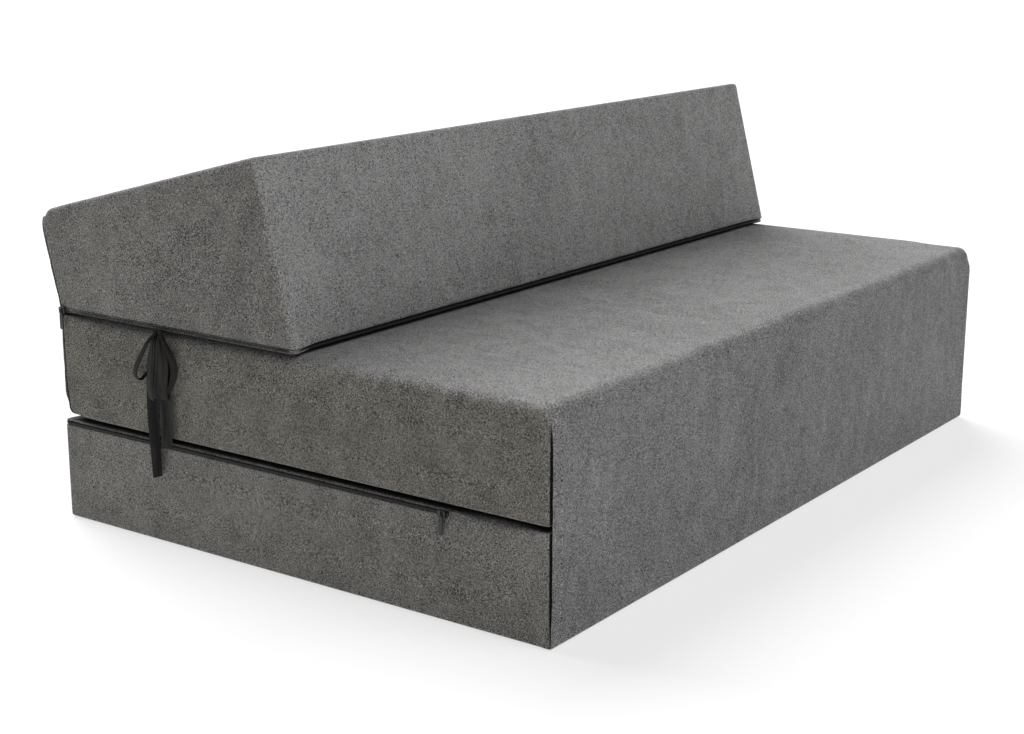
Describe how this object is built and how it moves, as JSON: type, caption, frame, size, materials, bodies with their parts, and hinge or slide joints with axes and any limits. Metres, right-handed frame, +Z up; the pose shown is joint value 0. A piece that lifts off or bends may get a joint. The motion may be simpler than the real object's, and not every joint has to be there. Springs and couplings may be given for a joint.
{
  "type": "futon sofa bed",
  "caption": "Low folding futon sofa bed: two foam slabs hinged at the front and a foam wedge backrest hinged at the rear, in zipped velour covers with ribbon ties.",
  "frame": {"origin": "middle of the floor under the folded sofa's bounding box", "axes": "+X to the right along the sofa's 1.2 m width, +Y to the back (the seat's front faces -Y), +Z up"},
  "size_m": [1.241, 0.8362, 0.5261],
  "materials": {
    "velour": "short-pile velour, mid grey, brushed and slightly blotchy, matt with a soft sheen",
    "foam": "open-cell polyurethane foam, pale cream",
    "zip_tape": "woven polyester tape, black",
    "zip_coil": "nylon coil, charcoal, satin",
    "zip_metal": "lacquered zinc, dark grey, satin",
    "satin": "polyester satin ribbon, black, shiny"
  },
  "bodies": {
    "seat": {"seat_cover": "velour", "seat_foam": "foam", "seat_zip_tape": "zip_tape", "seat_zip_coil": "zip_coil", "seat_zip_closed_stop": "zip_metal", "seat_zip_open_stop": "zip_metal", "front_panel_upper": "velour", "rear_panel_lower": "velour", "seat_tie_left": "satin", "seat_tie_right": "satin", "backrest_tie_left": "satin", "backrest_tie_right": "satin", "tie_knot_left": "satin", "tie_knot_right": "satin"},
    "base": {"base_cover": "velour", "base_foam": "foam", "base_zip_tape": "zip_tape", "base_zip_coil": "zip_coil", "base_zip_closed_stop": "zip_metal", "base_zip_open_stop": "zip_metal", "front_panel_lower": "velour"},
    "backrest": {"backrest_cover": "velour", "backrest_foam": "foam", "backrest_zip_tape": "zip_tape", "backrest_zip_coil": "zip_coil", "backrest_zip_open_stop": "zip_metal", "rear_panel_upper": "velour"},
    "base_zip_slider": {"base_zip_slider": "zip_metal"},
    "base_zip_pull": {"base_zip_pull": "zip_metal"},
    "seat_zip_slider": {"seat_zip_slider": "zip_metal"},
    "seat_zip_pull": {"seat_zip_pull": "zip_metal"},
    "backrest_zip_slider": {"backrest_zip_slider": "zip_metal"},
    "backrest_zip_pull": {"backrest_zip_pull": "zip_metal"}
  },
  "joints": [
    {"name": "base_fold", "type": "hinge", "parent": "seat", "child": "base", "pos_m": [0, -0.41961, 0.1425], "axis": [-1, 0, 0], "range_deg": [0, 180]},
    {"name": "backrest_fold", "type": "hinge", "parent": "seat", "child": "backrest", "pos_m": [0, 0.38339, 0.2852], "axis": [-1, 0, 0], "range_deg": [0, 164]},
    {"name": "base_zip_run", "type": "slide", "parent": "base", "child": "base_zip_slider", "axis": [0, 1, 0], "range_m": [0, 0.625]},
    {"name": "base_pull_swing", "type": "hinge", "parent": "base_zip_slider", "child": "base_zip_pull", "pos_m": [-0.6048, -0.2661, 0.1324], "axis": [1, 0, 0], "range_deg": [-90, 90]},
    {"name": "seat_zip_run", "type": "slide", "parent": "seat", "child": "seat_zip_slider", "axis": [0, 1, 0], "range_m": [0, 0.6]},
    {"name": "seat_pull_swing", "type": "hinge", "parent": "seat_zip_slider", "child": "seat_zip_pull", "pos_m": [0.6048, -0.2661, 0.1494], "axis": [1, 0, 0], "range_deg": [-90, 90]},
    {"name": "backrest_zip_run", "type": "slide", "parent": "backrest", "child": "backrest_zip_slider", "axis": [0, -1, 0], "range_m": [0, 0.12]},
    {"name": "backrest_pull_swing", "type": "hinge", "parent": "backrest_zip_slider", "child": "backrest_zip_pull", "pos_m": [-0.6048, 0.3715, 0.2898], "axis": [1, 0, 0], "range_deg": [-90, 90]}
  ]
}
